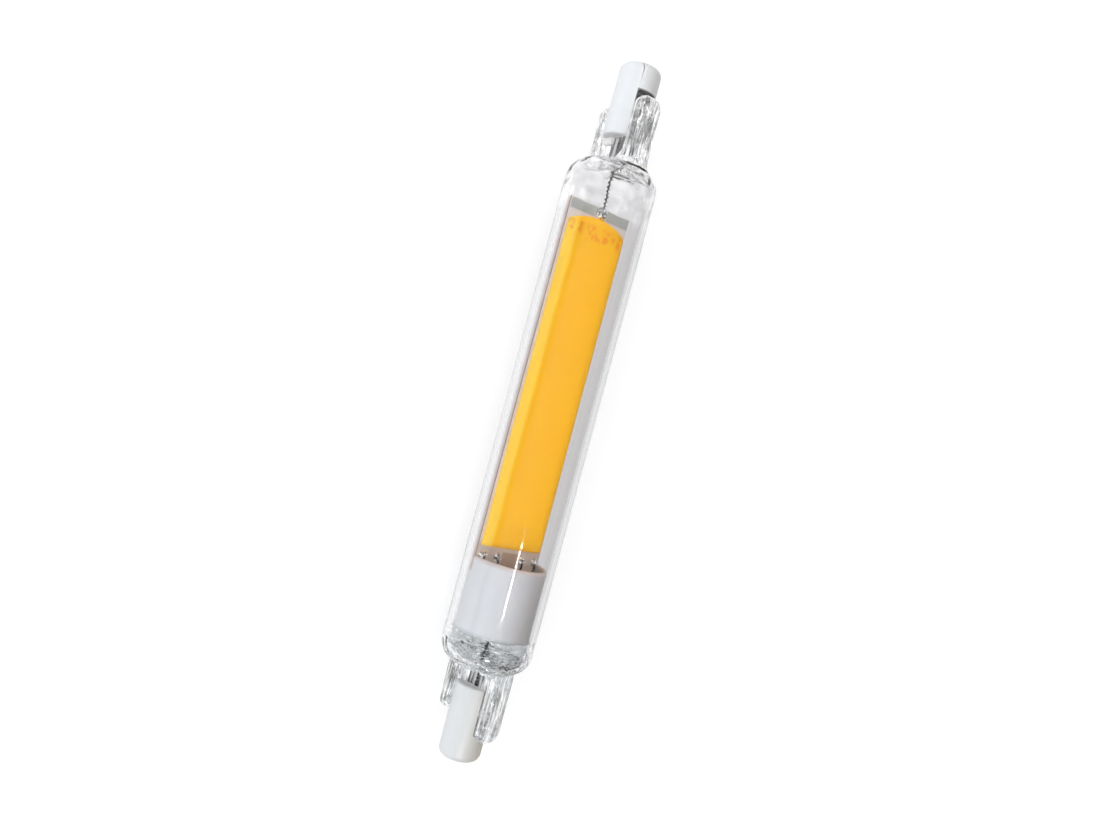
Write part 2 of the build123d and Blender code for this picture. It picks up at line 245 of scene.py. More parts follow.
paper = Finish("floor_white", Base_Color=(0.86, 0.86, 0.86, 1), Roughness=1.0)
paper.shader.inputs["Specular IOR Level"].default_value = 0.0
direct = (paper.ray("Camera") + paper.ray("Glossy") + paper.ray("Transmission")).capped()
away = abs(paper.axis("Y")).above(11.0, 6.0)
refracted = paper.ray("Transmission") * (1 - paper.bounced())
# Painted shade: seen through the glass, the floor's own light is weaker, and weaker still more than about 11 mm
# to either side of the lamp.
own_light = direct * (0.66 - refracted * (0.08 + away * 0.2))
paper.set(Emission_Color=paper.mix(own_light, (0, 0, 0), (1, 1, 1)), Emission_Strength=1.0)
paper.set(Base_Color=paper.mix(direct, (0.86, 0.86, 0.86), (0.42, 0.42, 0.42)))
floor.data.materials.append(paper.material)

# %% [markdown]
# The light is soft: a pale sky all round, brighter and cooler on the window side, dimmer and
# warmer on the other, and one large window lamp for the shading. Clear glass shows only what it
# bends towards the eye, so rays from glass or metal see a sky that turns dark near the horizon,
# like the black cards that a photographer stands beside a glass. Lamps can't shine straight
# through glass here, so the sky is brighter for light that reaches the parts inside the tube.
# One long, narrow lamp draws the thin bright line on the lower tube, and two small lamps beyond
# the ends put glints on the pinches.

# %% Light
world = bpy.data.worlds.new("studio")
bpy.context.scene.world = world
world.use_nodes = True
sky = Graph(world.node_tree)
toward = sky.node("ShaderNodeTexCoord", output="Generated")
window_side = sky.axes(toward, "Y").above(0.0, 1.8)
tint = sky.mix(window_side, (0.47, 0.43, 0.40), (1.30, 1.36, 1.42))
bounced = sky.bounced()
through_glass = (sky.ray("Glossy") + sky.ray("Transmission")).capped() * (1 - bounced)
horizon = abs(sky.axes(toward, "Z")).below(0.2, 0.34)
mirror_dim = sky.ray("Glossy") * 0.5
inside = sky.ray("Transmission") * bounced
background = sky.tree.nodes["Background"]
seen_through = sky.ray("Transmission") * (1 - bounced) * 0.4
shade = (1 - horizon * through_glass * 0.85) * (1 - mirror_dim) * (1 - seen_through)
brightest = 1.6
glow = shade * (1 + inside * (brightest - 1)) / brightest
sky.feed(background.inputs["Color"], sky.mix(glow, (0, 0, 0), tint))
background.inputs["Strength"].default_value = brightest


def softbox(name, place, long, wide, power, seen_by):
    """A rectangular lamp that faces the lamp's middle, its long side along X."""
    towards = Vector(place).normalized()
    side = towards.cross(Vector((1, 0, 0))).normalized()
    bpy.ops.object.light_add(type="AREA")
    lamp = bpy.context.object
    lamp.name = name
    turn = Matrix((side.cross(towards), side, towards)).transposed().to_4x4()
    lamp.matrix_world = Matrix.Translation(place) @ turn
    lamp.data.shape = "RECTANGLE"
    lamp.data.size = long
    lamp.data.size_y = wide
    lamp.data.energy = power
    lamp.visible_diffuse = "diffuse" in seen_by
    lamp.visible_glossy = "glossy" in seen_by
    lamp.visible_transmission = "transmission" in seen_by
    print(name, "at", [round(c, 3) for c in place])


softbox("window", (0.05, 0.45, 0.24), 0.6, 0.4, 0.85, ("diffuse",))
softbox("streak_lamp", (-0.166, 0.172, 0.564), 0.074, 0.004, 0.42, ("glossy", "transmission"))
softbox("upper_glint", (0.36, 0.22, 0.5), 0.05, 0.05, 1.5, ("glossy", "transmission"))
softbox("lower_glint", (-0.42, 0.22, 0.45), 0.05, 0.05, 1.5, ("glossy", "transmission"))
bpy.context.scene.view_settings.view_transform = "Standard"


# %% [markdown]
# A few modelling steps come back for many pieces: turning a profile round the lamp's axis,
# starting from a block, applying a modifier, cutting or joining two solids, and handing the
# finished piece to the frame. Each is one small function around the operators.

# %% Modelling helpers
def only(*pieces):
    """Deselect everything, then select these pieces and make the first one active."""
    if bpy.context.object and bpy.context.object.mode != "OBJECT":
        bpy.ops.object.mode_set(mode="OBJECT")
    bpy.ops.object.select_all(action="DESELECT")
    for piece in pieces:
        piece.select_set(True)
    bpy.context.view_layer.objects.active = pieces[0]


def edit(piece, mode="VERT"):
    only(piece)
    bpy.ops.object.mode_set(mode="EDIT")
    bpy.ops.mesh.select_mode(type=mode)
    bpy.ops.mesh.select_all(action="SELECT")


def tidy(piece):
    """Merge doubles and point every face outwards."""
    edit(piece)
    bpy.ops.mesh.remove_doubles(threshold=0.002 * MM)
    bpy.ops.mesh.normals_make_consistent(inside=False)
    only(piece)


def modify(piece, kind, **settings):
    """Add one modifier, set it up and apply it."""
    only(piece)
    step = piece.modifiers.new(kind.lower(), kind)
    for key, value in settings.items():
        setattr(step, key, value)
    bpy.ops.object.modifier_apply(modifier=step.name)


def combine(piece, tool, operation):
    """Join a tool to a piece, or cut it out, and remove the tool."""
    modify(piece, "BOOLEAN", object=tool, operation=operation, solver="EXACT")
    bpy.data.objects.remove(tool)


def turned(name, profile, steps=96, axis=(1, 0, 0)):
    """Spin a profile of (along, radius) points, in millimetres, round the X or Z axis."""
    bpy.ops.mesh.primitive_plane_add(size=MM)
    piece = bpy.context.object
    piece.name = name
    along_x = axis[0] == 1
    points = [Vector((a, 0, r) if along_x else (r, 0, a)) * MM for a, r in profile]
    edit(piece)
    bpy.ops.mesh.merge(type="CENTER")
    bpy.ops.transform.translate(value=points[0])
    for start, end in zip(points, points[1:]):
        bpy.ops.mesh.extrude_region_move(TRANSFORM_OT_translate={"value": end - start})
    bpy.ops.mesh.select_all(action="SELECT")
    bpy.ops.mesh.spin(steps=steps, angle=math.tau, center=(0, 0, 0), axis=axis)
    tidy(piece)
    return piece


def arc(centre, radius, start, stop, steps):
    """Points of a circular arc, as (along, radius), with angles in degrees."""
    angles = [math.radians(start + (stop - start) * k / steps) for k in range(steps + 1)]
    return [
        (centre[0] + radius * math.cos(a), centre[1] + radius * math.sin(a)) for a in angles
    ]


def block(name, low, high, rounding=0.0, segments=3):
    """A block between two corners, in millimetres, with rounded edges."""
    low, high = Vector(low) * MM, Vector(high) * MM
    bpy.ops.mesh.primitive_cube_add(size=1, location=(low + high) / 2, scale=high - low)
    piece = bpy.context.object
    piece.name = name
    only(piece)
    bpy.ops.object.transform_apply(location=True, rotation=True, scale=True)
    if rounding:
        edit(piece, "EDGE")
        bpy.ops.mesh.bevel(offset=rounding * MM, segments=segments, affect="EDGES")
        only(piece)
    return piece


def round_end(piece, end, radius):
    """Round the two edges that cross the outer end of a block, in millimetres."""
    edit(piece, "EDGE")
    bpy.ops.mesh.select_all(action="DESELECT")
    only(piece)
    for edge in piece.data.edges:
        corners = [piece.data.vertices[v].co / MM for v in edge.vertices]
        crossing = abs(corners[0].x - corners[1].x) > 1
        edge.select = crossing and min(c.z for c in corners) > end - 0.1
    bpy.ops.object.mode_set(mode="EDIT")
    bpy.ops.mesh.bevel(offset=radius * MM, segments=8, affect="EDGES")
    only(piece)


def join(name, *pieces):
    only(*pieces)
    bpy.ops.object.join()
    pieces[0].name = name
    return pieces[0]


def place(piece, matrix):
    """Move a piece from its own end's frame to the lamp's frame and keep that in its mesh."""
    only(piece)
    piece.matrix_world = matrix @ piece.matrix_world
    bpy.ops.object.transform_apply(location=True, rotation=True, scale=True)


def hand_over(piece, slot, finish, *nodes, smooth=40):
    """Shade a finished piece, give it its finish and let it stand for its nodes."""
    only(piece)
    bpy.ops.object.shade_smooth_by_angle(angle=math.radians(smooth))
    piece.data.materials.clear()
    piece.data.materials.append(finish.material)
    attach(piece, "root")
    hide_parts(*nodes)
    print(f"{piece.name}: {len(piece.data.polygons)} faces")


def end_frame(direction, turn):
    """The frame of one lamp end: x across the pinch, y out of its face, z outward."""
    turn = math.radians(turn)
    outward = Vector((direction, 0, 0))
    side = Vector((0, direction * math.cos(turn), -direction * math.sin(turn)))
    return Matrix((side, outward.cross(side), outward)).transposed().to_4x4()


ENDS = {
    "upper": {"frame": end_frame(1, 90), "dome": 42.0, "ridges": (52.3, 53.2), "flare": 3.8},
    "lower": {"frame": end_frame(-1, 250), "dome": 43.3, "ridges": (52.0, 54.6), "flare": 2.9},
}

# %% [markdown]
# Clear glass is mostly what is seen through it, so its shape and small waves matter more than
# its colour. The middle of the tube is drawn glass and nearly smooth. The ends were heated and
# pressed, which leaves long streaks along the lamp and lumps where the glass ran together. The
# relief is stretched noise, masked by the distance from the middle of the lamp. The colour holds
# painted shade: thin dark streaks in the pinches, a greyer lower pinch, and a darker inner wall at
# the lower end with painted lighter streaks through it. A faint white glow paints highlights on
# lines along the pinches, scuffs in the lower end, soft clouds over the upper end and froth on the
# upper ridges.

# %% Glass finish
glass = Finish("clear_glass", Transmission_Weight=1.0, IOR=1.46)
distance = abs(glass.axis("X"))
radius = (glass.axis("Y").power(2) + glass.axis("Z").power(2)).power(0.5)
pressed = distance.above(42.3, 1.4)
inner_end = glass.axis("X").below(-37.0, 0.6) * glass.axis("X").above(-43.5, 1.0) * radius.below(7.0, 0.3)

streaks = glass.noise(0.8, 2, (10, 1, 1)) * 0.75 + glass.noise(0.4, 2, (7, 1, 1)) * 0.25
lumps = glass.noise(1.8, 2, (1.4, 1, 1))
drawn = glass.noise(9, 2, (4, 1, 1))
folds = glass.noise(3.2, 2) * (distance.above(39.3, 1.6) + glass.axis("X").above(34.0, 5.0) * 0.35)
creases = glass.noise(2.2, 2) * inner_end
relief = drawn * 0.05 + folds * 0.55 + creases * 0.22 + (streaks * 1.1 + lumps * 0.7) * pressed
glass.bump(relief, 0.7)

# Painted shade: thin dark streaks along both pinches.
painted_dark_streaks = glass.noise(0.42, 3, (12, 1, 1)).above(0.53, 0.1) * pressed
painted_light_streaks = glass.noise(0.8, 3, (1, 2.5, 2.5)).above(0.56, 0.1) * inner_end
# Painted shade: the lower pinch is tinted greyer and the inner wall of the lower end darker, with painted
# lighter streaks through it.
lower_pinch = glass.axis("X").below(-43.0, 1.5)
tone = glass.mix(lower_pinch * 0.8, (0.972, 0.970, 0.978), (0.82, 0.85, 0.875))
tone = glass.mix(inner_end * 0.9, tone, (0.57, 0.605, 0.625))
tone = glass.mix(painted_light_streaks * 0.85, tone, (0.98, 0.98, 0.99))
tone = glass.mix(painted_dark_streaks * 0.7, tone, (0.38, 0.41, 0.44))
glass.set(Base_Color=tone, Roughness=pressed * 0.03 + glass.noise(5, 4) * 0.01 + 0.05)
# Painted highlights: lines, scuffs, clouds and froth in the glass glow white by themselves.
painted_line_glints = glass.noise(0.45, 2, (14, 1, 1)).above(0.55, 0.07) * pressed
upper_end = glass.axis("X").above(33.5, 2.0) * glass.axis("X").below(41.0, 1.0)
painted_cloud_highlights = glass.noise(2.4, 2).above(0.55, 0.12) * upper_end * 0.2
painted_scuff_glints = glass.noise(0.35, 3, (1, 3, 3)).above(0.62, 0.06) * inner_end * 0.6
painted_froth_glints = glass.noise(0.5, 2).above(0.53, 0.1) * glass.axis("X").above(50.4, 1.0) * 0.35
painted_highlights = (painted_line_glints + painted_scuff_glints + painted_cloud_highlights + painted_froth_glints).capped()
glass.set(Emission_Color=glass.mix(painted_highlights, (0, 0, 0), (1, 1, 1)), Emission_Strength=0.4)

# %% [markdown]
# The tube is turned from one profile. Its two shoulders are arcs. The hollow is a second turned
# solid: its ends keep the shallow rings of glass that closed round the wire. At the lower end
# the glass crept up the wire, so a round bead of it stands in the hollow and works as a lens.

# %% Tube
TUBE = 7.685
WALL = 1.0
SHOULDER = 3.5


def tube_profile(low, high, radius, shoulder):
    upper_arc = arc((high - shoulder, radius - shoulder), shoulder, 90, 0, 12)
    lower_arc = arc((low + shoulder, radius - shoulder), shoulder, 180, 90, 12)
    return [(low, 0), *lower_arc, *upper_arc, (high, 0)]


tube = turned("glass", tube_profile(-43.3, 42.0, TUBE, SHOULDER))
hollow_low = [(-40.9, 0), (-41.0, 0.45), (-41.4, 0.8), (-41.9, 0.95), (-42.5, 1.0), (-42.85, 1.25),
              (-42.5, 1.55), (-42.25, 1.8), (-42.6, 2.15), (-42.2, 2.6), (-42.35, 3.3), (-42.2, 4.2)]
hollow_high = [(41.0, 4.2), (41.2, 3.4), (40.8, 2.9), (41.3, 2.4), (41.0, 1.9), (41.8, 1.3),
               (42.3, 0.7), (42.5, 0)]
inner = SHOULDER - WALL
hollow_profile = [
    *hollow_low,
    *arc((-42.2 + inner, TUBE - WALL - inner), inner, 180, 90, 8)[1:],
    *arc((41.0 - inner, TUBE - WALL - inner), inner, 90, 0, 8),
    *hollow_high[1:],
]
hollow = turned("tube_hollow", hollow_profile)

# %% [markdown]
# A pinch is two thick ridges with a thinner web between them, all of one piece with the dome.
# Blocks and a short cone give the forms. A voxel remesh melts them into one skin, smoothing
# rounds every meeting line as molten glass would, and a displacement by clouds, done while the
# piece is squeezed along its length, leaves ripples that run along the pinch.

# %% Pinch seals
RIDGE_IN = 3.3
RIDGE_OUT = 5.5
RIDGE_HALF = 2.4
WEB_HALF = 1.2

ripple = bpy.data.textures.new("ripple", "CLOUDS")
ripple.noise_scale = 1.1 * MM
ripple.noise_depth = 2


def ridge(low_x, high_x, root, end):
    """One ridge: a block whose end is first rounded like a thumb, then all its edges."""
    piece = block("ridge", (low_x, -RIDGE_HALF, root), (high_x, RIDGE_HALF, end))
    round_end(piece, end, 1.9)
    modify(piece, "BEVEL", width=0.85 * MM, segments=4, limit_method="ANGLE", angle_limit=1.0)
    return piece


def pinch(name, dome, ends, flare):
    """One pinch seal in its own frame, z outward, with the ends of its two ridges."""
    root = dome - 1.6
    reach = RIDGE_IN + 0.6
    web = block("web", (-reach, -WEB_HALF, root), (reach, WEB_HALF, min(ends) - 1.0), 0.4)
    ridges = [ridge(RIDGE_IN, RIDGE_OUT, root, ends[0]), ridge(-RIDGE_OUT, -RIDGE_IN, root, ends[1])]
    feet = []
    for side, spread in ((1, 2.7), (-1, flare)):
        bpy.ops.mesh.primitive_cone_add(
            vertices=32,
            radius1=spread * MM,
            radius2=1.6 * MM,
            depth=4.2 * MM,
            location=(side * 3.9 * MM, 0, (dome + 0.5) * MM),
            scale=(0.75, 1.1, 1),
        )
        feet.append(bpy.context.object)
    piece = join(name, web, *ridges, *feet)
    bpy.ops.object.transform_apply(location=True, rotation=True, scale=True)
    modify(piece, "REMESH", mode="VOXEL", voxel_size=0.14 * MM)
    modify(piece, "SMOOTH", factor=0.5, iterations=12)
    squeeze = Matrix.Diagonal((1, 1, 0.22, 1))
    piece.data.transform(squeeze)
    for direction, strength in (("X", 0.16), ("Y", 0.3)):
        modify(
            piece,
            "DISPLACE",
            texture=ripple,
            strength=strength * MM,
            mid_level=0.5,
            direction=direction,
        )
    piece.data.transform(squeeze.inverted())
    return piece


for label, end in ENDS.items():
    seal = pinch(f"{label}_pinch", end["dome"], end["ridges"], end["flare"])
    place(seal, end["frame"])
    combine(tube, seal, "UNION")
    print(label, "end reaches", [round(abs(c), 4) for c in (tube.bound_box[0][0], tube.bound_box[6][0])])
combine(tube, hollow, "DIFFERENCE")

# %% [markdown]
# Air stays in the hot glass as small bubbles, drawn long where the pinch was pulled. Each is a
# stretched sphere whose faces point inwards, because its inside is air and its outside is glass.
# They gather at the ends and roots of the ridges.

# %% Bubbles in the pinches
random.seed(7)


def bubble(centre, radius, length):
    bpy.ops.mesh.primitive_uv_sphere_add(
        segments=14, ring_count=10, radius=1, location=Vector(centre) * MM
    )
    piece = bpy.context.object
    only(piece)
    bpy.ops.transform.resize(value=(radius * MM, radius * MM, length * MM))
    bpy.ops.object.transform_apply(location=True, rotation=True, scale=True)
    edit(piece)
    bpy.ops.mesh.flip_normals()
    only(piece)
    return piece


bubbles = []
for end in ENDS.values():
    for number in range(56):
        at_tip = number % 4 != 0
        side = random.choice((0, 1))
        low, high = (end["ridges"][side] - 3.2, end["ridges"][side] - 0.8)
        if not at_tip:
            low, high = end["dome"] + 0.4, end["dome"] + 7.5
        radius = random.uniform(0.07, 0.22) if at_tip else random.uniform(0.05, 0.12)
        centre = (
            (1, -1)[side] * random.uniform(RIDGE_IN + 0.45, RIDGE_OUT - 0.5),
            random.uniform(-1.5, 1.5),
            random.uniform(low, high),
        )
        piece = bubble(centre, radius, radius * (random.uniform(1.0, 1.8) if at_tip else 5.0))
        place(piece, end["frame"])
        bubbles.append(piece)
tube = join("glass", tube, *bubbles)
print("bubbles:", len(bubbles))
hand_over(tube, "clear_glass", glass, "glass_envelope", smooth=60)

# %% [markdown]
# The caps are pressed steatite: matt, slightly warm, with a fine grain and soft edges. Painted shade
# greys the lower cap and the side away from the window, and darkens the walls deep in the upper cap's slot.

# %% Ceramic
ceramic = Finish("white_ceramic")
grain = ceramic.noise(0.35, 4)
patches = ceramic.noise(3.5, 2)
colour = ceramic.mix(patches, seen(211, 212, 213), seen(218, 219, 221))
# Painted shade: the lower cap is greyer all over, and both caps are darker and warmer on the side away from the
# window, the lower one more.
lower = ceramic.axis("X").below(0, 1)
colour = ceramic.mix(lower * 0.5, colour, seen(190, 192, 191))
shaded_side = ceramic.axis("Y").below(0.8, 5.0) * (lower * 0.6 + 0.4)
colour = ceramic.mix(shaded_side, colour, seen(196, 190, 180))
# Painted shade: the walls deep in the upper cap's slot are painted dark.
in_slot = abs(ceramic.axis("Y")).below(1.85, 0.15) * ceramic.axis("X").above(50.5, 2.0)
painted_slot_shade = in_slot * ceramic.axis("X").below(54.3, 0.2)
ceramic.set(Base_Color=ceramic.mix(painted_slot_shade * 0.85, colour, seen(60, 60, 58)))
ceramic.set(Roughness=grain * 0.2 + 0.3)
ceramic.bump(grain, 0.05)

# %% Caps
CAP_RADIUS = 3.5
CAP_LOW = 46.4
CAP_HIGH = 58.8
SLOT_HALF = 1.75
SLOT_END = 54.1


def cap(name):
    """One cap in its own frame: turned, slotted, softened, then grooved and recessed."""
    profile = [
        (CAP_LOW, 0),
        *arc((CAP_LOW + 0.4, CAP_RADIUS - 0.4), 0.4, 180, 90, 4),
        *arc((CAP_HIGH - 1.2, CAP_RADIUS - 1.2), 1.2, 90, 0, 8),
        (CAP_HIGH, 0),
    ]
    body = turned(name, profile, 96, (0, 0, 1))
    slot = block("slot", (-9, -SLOT_HALF, CAP_LOW - 9), (9, SLOT_HALF, SLOT_END))
    round_end(slot, SLOT_END, 0.5)
    combine(body, slot, "DIFFERENCE")
    modify(body, "BEVEL", width=0.42 * MM, segments=4, limit_method="ANGLE", angle_limit=0.7)
    reach = math.sqrt(CAP_RADIUS**2 - SLOT_HALF**2)
    for side in (1, -1):
        groove = block(
            "groove",
            (side * reach - 0.65, SLOT_HALF - 0.6, SLOT_END - 1),
            (side * reach + 0.65, SLOT_HALF, CAP_HIGH + 1),
            0.12,
        )
        combine(body, groove, "DIFFERENCE")
    recess = [
        (CAP_HIGH + 1, 0),
        (CAP_HIGH + 1, 2.1),
        (CAP_HIGH - 1.6, 2.1),
        (CAP_HIGH - 1.6, 1.8),
        (CAP_HIGH - 2.5, 1.8),
        (CAP_HIGH - 2.5, 0),
    ]
    combine(body, turned("recess", recess, 96, (0, 0, 1)), "DIFFERENCE")
    modify(body, "BEVEL", width=0.12 * MM, segments=2, limit_method="ANGLE", angle_limit=0.7)
    return body


for label, end in ENDS.items():
    body = cap(f"{label}_ceramic")
    place(body, end["frame"])
    hand_over(body, "white_ceramic", ceramic, f"{label}_cap", smooth=35)

# %% [markdown]
# The coat over the chips is silicone full of yellow phosphor. It is poured, so its sides slope,
# its upper end bulges and its edges are soft. A block gets a smaller top face for the slopes, and
# the bulge is cut with what is left of a block outside a wide cone. A fine remesh and a little
# smoothing then soften every edge. The colour is an even warm yellow with a painted highlight on
# the slope towards the window, with the chips just showing through near the top. The coat also
# glows faintly in its own colour, which is painted light.

# %% Phosphor finish
phosphor = Finish("yellow_phosphor", Roughness=0.5, Emission_Strength=0.24)
phosphor.shader.inputs["Specular IOR Level"].default_value = 0.15
cloud = phosphor.noise(4, 3)
colour = phosphor.mix(cloud, seen(253, 184, 14), seen(255, 191, 24))
# Painted highlight: a lighter yellow on the slope towards the window.
colour = phosphor.mix(phosphor.axis("Y").above(4.4, 0.9) * 0.8, colour, seen(255, 208, 30))
shown = phosphor.axis("X").above(28.9, 0.8) * phosphor.axis("X").below(31.3, 0.5)
marks = phosphor.noise(1.1, 2).above(0.53, 0.1) * shown
colour = phosphor.mix(marks * 0.75, colour, seen(228, 140, 24))
# Painted light: the coat glows faintly in its own colour.
phosphor.set(Base_Color=colour, Emission_Color=colour)
phosphor.bump(cloud * 0.8 + phosphor.noise(0.25, 2) * 0.2, 0.1)

# %% Phosphor coat
BULGE = 12.35
SIDE_SLOPE = 1.4
END_SLOPE = 0.9
low, high = (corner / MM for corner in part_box("phosphor_strip"))
low -= Vector((0.6, 0.45, 0))
high += Vector((0.4, 0.45, 0))
coat = block("phosphor_coat", low, high)
edit(coat, "FACE")
bpy.ops.mesh.select_all(action="DESELECT")
only(coat)
for face in coat.data.polygons:
    face.select = face.normal.z > 0.9
bpy.ops.object.mode_set(mode="EDIT")
size = high - low
bpy.ops.transform.resize(value=(1 - 2 * END_SLOPE / size.x, 1 - 2 * SIDE_SLOPE / size.y, 1))
only(coat)

centre = high.x - BULGE
outside = block("outside", (centre, -9, low.z - 1), (high.x + 2, 9, high.z + 1))
steepness = END_SLOPE / size.z
bpy.ops.mesh.primitive_cone_add(
    vertices=160,
    radius1=(BULGE + steepness) * MM,
    radius2=(BULGE - steepness * (size.z + 1)) * MM,
    depth=(size.z + 2) * MM,
    location=(centre * MM, 0, (low.z + high.z) / 2 * MM),
)
combine(outside, bpy.context.object, "DIFFERENCE")
combine(coat, outside, "DIFFERENCE")
modify(coat, "REMESH", mode="VOXEL", voxel_size=0.19 * MM)
modify(coat, "SMOOTH", factor=0.5, iterations=60)
print("coat:", [tuple(round(c / MM, 2) for c in coat.bound_box[i]) for i in (0, 6)])
hand_over(coat, "yellow_phosphor", phosphor, "phosphor_strip", smooth=80)

# %% [markdown]
# The sleeve is a short tube of white insulation, shrunk round the driver. It is turned with
# rounded rims and then cut back behind the LED board, which stands on the step.

# %% Sleeve
sleeve_finish = Finish("white_sleeve", Roughness=0.38)
sleeve_low, sleeve_high = (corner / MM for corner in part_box("driver_sleeve"))
rim = sleeve_finish.axis("X").above(sleeve_high.x - 0.5, 0.5)
milk = sleeve_finish.noise(3, 3)
colour = sleeve_finish.mix(milk, seen(247, 249, 252), seen(252, 253, 254))
# Painted shade: the sleeve turns grey on the side away from the window.
colour = sleeve_finish.mix(sleeve_finish.axis("Y").below(1.8, 6.5) * 0.85, colour, seen(205, 201, 199))
sleeve_finish.set(Base_Color=sleeve_finish.mix(rim * 0.8, colour, seen(238, 222, 216)))
sleeve_finish.bump(milk * 0.7 + sleeve_finish.noise(0.4, 2) * 0.3, 0.08)

SLEEVE_RADIUS = 6.35
SLEEVE_WALL = 0.6
bore = SLEEVE_RADIUS - SLEEVE_WALL
profile = [
    (sleeve_low.x, bore + 0.15),
    (sleeve_low.x, SLEEVE_RADIUS - 0.2),
    (sleeve_low.x + 0.2, SLEEVE_RADIUS),
    (sleeve_high.x - 0.2, SLEEVE_RADIUS),
    (sleeve_high.x, SLEEVE_RADIUS - 0.2),
    (sleeve_high.x, bore + 0.15),
    (sleeve_high.x - 0.15, bore),
    (sleeve_low.x + 0.15, bore),
    (sleeve_low.x, bore + 0.15),
]
sleeve = turned("sleeve", profile, 128)
behind = block("behind", (sleeve_high.x - 2.5, -8, -9), (sleeve_high.x + 1, 8, -0.5), 0.1)
combine(sleeve, behind, "DIFFERENCE")
hand_over(sleeve, "white_sleeve", sleeve_finish, "driver_sleeve")

# %% [markdown]
# Solder is bright where it faces a lamp and nearly black where it faces nothing, and that
# contrast is what makes it look like metal. Here the contrast is painted reflection: bright and
# near-black patches in its colour, and small spots of painted glint that glow white. The beads
# are spheres, flattened, rippled, and cut off at the board. No two are alike, because the ripple
# depends on the place.

# %% Solder beads
solder = Finish("solder", Metallic=1.0)
facets = solder.noise(0.45, 2)
# Painted reflection: bright and near-black patches in the solder's colour.
solder.set(Base_Color=solder.mix(facets.above(0.46, 0.12), (0.30, 0.29, 0.28), (1.0, 0.99, 0.97)))
solder.set(Roughness=facets * 0.25 + 0.05)
solder.bump(solder.noise(0.35, 3), 0.2)
# Painted glint: small spots glow white.
painted_glint_spots = solder.noise(0.4, 1).above(0.58, 0.1)
solder.set(Emission_Color=solder.mix(painted_glint_spots, (0, 0, 0), (1, 1, 1)), Emission_Strength=0.6)
bead_ripple = bpy.data.textures.new("bead_ripple", "CLOUDS")
bead_ripple.noise_scale = 0.55 * MM
bead_ripple.noise_depth = 1


def bead(name, node, height, spread=1.0):
    """A rippled dome of solder over the place of its node."""
    low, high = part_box(node)
    middle = (low + high) / 2
    radius = (high.x - low.x) / 2 * spread
    bpy.ops.mesh.primitive_uv_sphere_add(
        segments=40, ring_count=24, radius=1, location=(middle.x, middle.y, low.z)
    )
    piece = bpy.context.object
    piece.name = name
    only(piece)
    bpy.ops.transform.resize(value=(radius, radius * 0.92, height * MM))
    bpy.ops.object.transform_apply(location=True, rotation=True, scale=True)
    modify(piece, "DISPLACE", texture=bead_ripple, strength=0.3 * MM, mid_level=0.5)
    edit(piece)
    bpy.ops.mesh.bisect(
        plane_co=(0, 0, low.z), plane_no=(0, 0, 1), use_fill=True, clear_inner=True
    )
    hand_over(piece, "solder", solder, node, smooth=70)


for number, height in enumerate((0.6, 0.7, 0.85, 0.8), start=1):
    bead(f"link_bead_{number}", f"link_solder_{number}", height, 1.25)
bead("upper_lead_bead", "upper_solder_joint", 0.95, 1.3)
bead("lower_lead_bead", "lower_solder_joint", 0.75)

# %% [markdown]
# The wires are dark drawn metal. Each is a curve through a few points of its route. The links
# have a plain round section. The two inner leads are a twisted pair: the curve carries a section
# of two circles, and a tilt that grows from point to point winds it round itself.

# %% Wires
wire_metal = Finish("lead_wire", Metallic=1.0)
scale_marks = wire_metal.noise(0.3, 3)
dark_or_worn = scale_marks.above(0.6, 0.12)
wire_metal.set(Base_Color=wire_metal.mix(dark_or_worn, (0.035, 0.033, 0.032), (0.55, 0.53, 0.50)))
wire_metal.set(Roughness=scale_marks * 0.3 + 0.2)
wire_metal.bump(scale_marks, 0.05)


def route(name, points, steps=10):
    """A smooth curve through points in millimetres."""
    bpy.ops.curve.primitive_bezier_curve_add()
    curve = bpy.context.object
    curve.name = name
    spline = curve.data.splines[0]
    spline.bezier_points.add(len(points) - 2)
    for knot, point in zip(spline.bezier_points, points):
        knot.co = Vector(point) * MM
        knot.handle_left_type = knot.handle_right_type = "AUTO"
    curve.data.resolution_u = steps
    curve.data.use_fill_caps = True
    return curve


def wire(curve, *nodes):
    """A curve made into a mesh and handed over."""
    only(curve)
    bpy.ops.object.convert(target="MESH")
    piece = bpy.context.object
    tidy(piece)
    hand_over(piece, "lead_wire", wire_metal, *nodes, smooth=60)


def round_wire(name, points, radius, *nodes):
    curve = route(name, points)
    curve.data.bevel_depth = radius * MM
    curve.data.bevel_resolution = 5
    wire(curve, *nodes)


def twisted_pair(name, points, strand, pitch, *nodes):
    """Two strands of a radius, wound once round each other in each pitch."""
    curve = route(name, points, 40)
    circles = []
    for side in (1, -1):
        bpy.ops.curve.primitive_bezier_circle_add(radius=strand * MM, location=(side * strand * MM, 0, 0))
        circles.append(bpy.context.object)
        circles[-1].data.resolution_u = 4
    section = join("section", *circles)
    curve.data.bevel_mode = "OBJECT"
    curve.data.bevel_object = section
    turned_by = 0.0
    knots = curve.data.splines[0].bezier_points
    for before, knot in zip(knots, knots[1:]):
        turned_by += math.tau * (knot.co - before.co).length / (pitch * MM)
        knot.tilt = turned_by
    wire(curve, *nodes)
    bpy.data.objects.remove(section)


